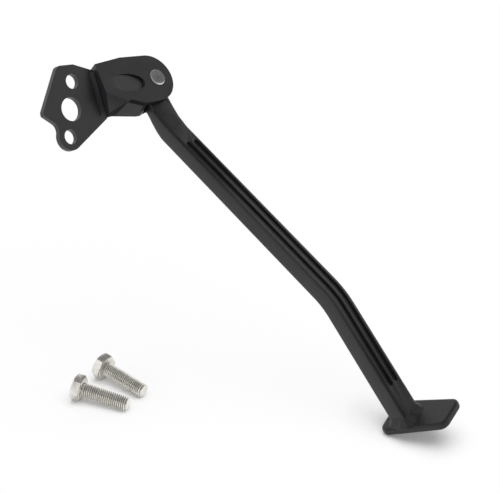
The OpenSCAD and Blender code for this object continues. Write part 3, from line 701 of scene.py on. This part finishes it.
coil = addPiece(solidOf("detent_spring"), "catchCoil", None, metals["springSteel"], "detent_spring")
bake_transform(coil)


# pieces of the frame that keep their own solids

keptFinishes = {"pivot_pin": "pinSteel", "pin_washer": "turnedSteel", "pin_circlip": "springSteel",
                "detent_plunger": "turnedSteel", "bore_plug": "turnedSteel",
                "thrust_washer_front": "bushBronze", "thrust_washer_rear": "bushBronze",
                "knuckle_bush": "bushBronze"}
for nodeName, finish in keptFinishes.items():
    dress(nodes[nodeName], metals[finish])
print("kept solids dressed:", len(keptFinishes))


# floor, light and camera

photo = {"width": 500, "height": 493, "mmPerPixel": 0.7, "originPixel": (68.2, 110.6), "elevation": 35.0,
         "distance": 12.0, "depth": -0.024, "sensor": 36.0, "clipEnd": 40.0}
tilt = math.radians(photo["elevation"])
upInPhoto = Vector((0, math.sin(tilt), math.cos(tilt)))
toCamera = Vector((0, -math.cos(tilt), math.sin(tilt)))
pixel = photo["mmPerPixel"] * mm
rightShift = (photo["width"] / 2 - photo["originPixel"][0]) * pixel
upShift = (photo["originPixel"][1] - photo["height"] / 2) * pixel
aim = Vector((rightShift, 0, 0)) + upInPhoto * upShift + toCamera * photo["depth"]

cameraData = bpy.data.cameras.new("photoCamera")
cameraData.sensor_width = photo["sensor"]
cameraData.lens = cameraData.sensor_width * photo["distance"] / (photo["width"] * pixel)
cameraData.clip_end = photo["clipEnd"]
camera = bpy.data.objects.new("photoCamera", cameraData)
camera.location = aim + toCamera * photo["distance"]
camera.rotation_mode = "QUATERNION"
camera.rotation_quaternion = (-toCamera).to_track_quat("-Z", "Y")
bpy.context.scene.collection.objects.link(camera)
bpy.context.scene.camera = camera

floorLook = {"size": 12.0, "middle": (0.12, -0.05), "colour": (0.99, 0.99, 0.99), "veil": (0.14, 0.78),
             "near": 36 * mm, "open": (0.45, 1.0)}


def makeFloor(look):
    # a white veil over the floor as it is seen, thin close to a piece, where the shadow is dark
    bm = bmesh.new()
    bmesh.ops.create_grid(bm, x_segments=1, y_segments=1, size=look["size"] / 2)
    bmesh.ops.translate(bm, verts=bm.verts, vec=(*look["middle"], groundZ))
    mesh = bpy.data.meshes.new("floor")
    bm.to_mesh(mesh)
    bm.free()
    floor = bpy.data.objects.new("floor", mesh)
    bpy.context.scene.collection.objects.link(floor)
    material, tree, links = newMaterial("floorWhite")
    tree.remove(tree["Principled BSDF"])
    shade = tree.new("ShaderNodeBsdfDiffuse")
    shade.inputs["Color"].default_value = (*look["colour"], 1)
    veil = tree.new("ShaderNodeEmission")
    rays = tree.new("ShaderNodeLightPath")
    share = place(tree, "ShaderNodeMath", operation="MULTIPLY")
    near = place(tree, "ShaderNodeAmbientOcclusion", Distance=look["near"])
    veilShare = spanOf(tree, *look["open"], *look["veil"])
    links.new(near.outputs["AO"], veilShare.inputs["Value"])
    links.new(veilShare.outputs["Result"], share.inputs[1])
    mix = tree.new("ShaderNodeMixShader")
    mirrored = place(tree, "ShaderNodeMath", operation="MAXIMUM")
    links.new(rays.outputs["Is Glossy Ray"], mirrored.inputs[0])
    links.new(rays.outputs["Is Transmission Ray"], mirrored.inputs[1])
    seen = place(tree, "ShaderNodeMath", operation="MAXIMUM")
    links.new(rays.outputs["Is Camera Ray"], seen.inputs[0])
    links.new(mirrored.outputs[0], seen.inputs[1])
    links.new(seen.outputs[0], share.inputs[0])
    links.new(share.outputs[0], mix.inputs["Fac"])
    links.new(shade.outputs[0], mix.inputs[1])
    links.new(veil.outputs[0], mix.inputs[2])
    links.new(mix.outputs[0], tree["Material Output"].inputs["Surface"])
    dress(floor, material)


makeFloor(floorLook)

skyLook = {"horizon": 1.05, "ceiling": 0.25, "horizonTop": 0.38, "ceilingFrom": 0.57,
           "dimSide": (0.51, -0.85, 0.12), "dimShare": 0.25, "dimInside": 0.90, "dimOutside": 0.62}


def makeSky(look):
    # a white room with a duller ceiling, dim on the side where the camera stands
    world = bpy.data.worlds.new("whiteRoom")
    bpy.context.scene.world = world
    world.use_nodes = True
    tree, links = world.node_tree.nodes, world.node_tree.links
    room = tree["Background"]
    room.inputs["Color"].default_value = (1, 1, 1, 1)
    coords = tree.new("ShaderNodeTexCoord")
    parts = tree.new("ShaderNodeSeparateXYZ")
    links.new(coords.outputs["Generated"], parts.inputs[0])
    level = spanOf(tree, look["horizonTop"], look["ceilingFrom"], look["horizon"], look["ceiling"], "SMOOTHSTEP")
    links.new(parts.outputs["Z"], level.inputs["Value"])
    facing = place(tree, "ShaderNodeVectorMath", operation="DOT_PRODUCT")
    facing.inputs[1].default_value = Vector(look["dimSide"]).normalized()
    links.new(coords.outputs["Generated"], facing.inputs[0])
    dim = spanOf(tree, look["dimOutside"], look["dimInside"], 1.0, look["dimShare"], "SMOOTHSTEP")
    links.new(facing.outputs["Value"], dim.inputs["Value"])
    strength = place(tree, "ShaderNodeMath", operation="MULTIPLY")
    links.new(level.outputs["Result"], strength.inputs[0])
    links.new(dim.outputs["Result"], strength.inputs[1])
    links.new(strength.outputs[0], room.inputs["Strength"])


makeSky(skyLook)

lamps = {
    "softboxTop": {"toward": (0.12, 0.05, 0.99), "from": (0.12, -0.05, -0.1), "away": 1.6, "size": 2.0,
                   "watts": 28.0},
}


def hangLamp(name, make):
    data = bpy.data.lights.new(name, "AREA")
    data.shape = "SQUARE"
    data.size = make["size"]
    data.energy = make["watts"]
    lamp = bpy.data.objects.new(name, data)
    toward = Vector(make["toward"]).normalized()
    lamp.location = Vector(make["from"]) + toward * make["away"]
    lamp.rotation_mode = "QUATERNION"
    lamp.rotation_quaternion = (-toward).to_track_quat("-Z", "Y")
    lamp.visible_glossy = False  # the room alone is mirrored in paint and steel
    bpy.context.scene.collection.objects.link(lamp)


for name, make in lamps.items():
    hangLamp(name, make)
bpy.context.scene.view_settings.view_transform = "Standard"
print("camera, floor and", len(lamps), "lamps set")
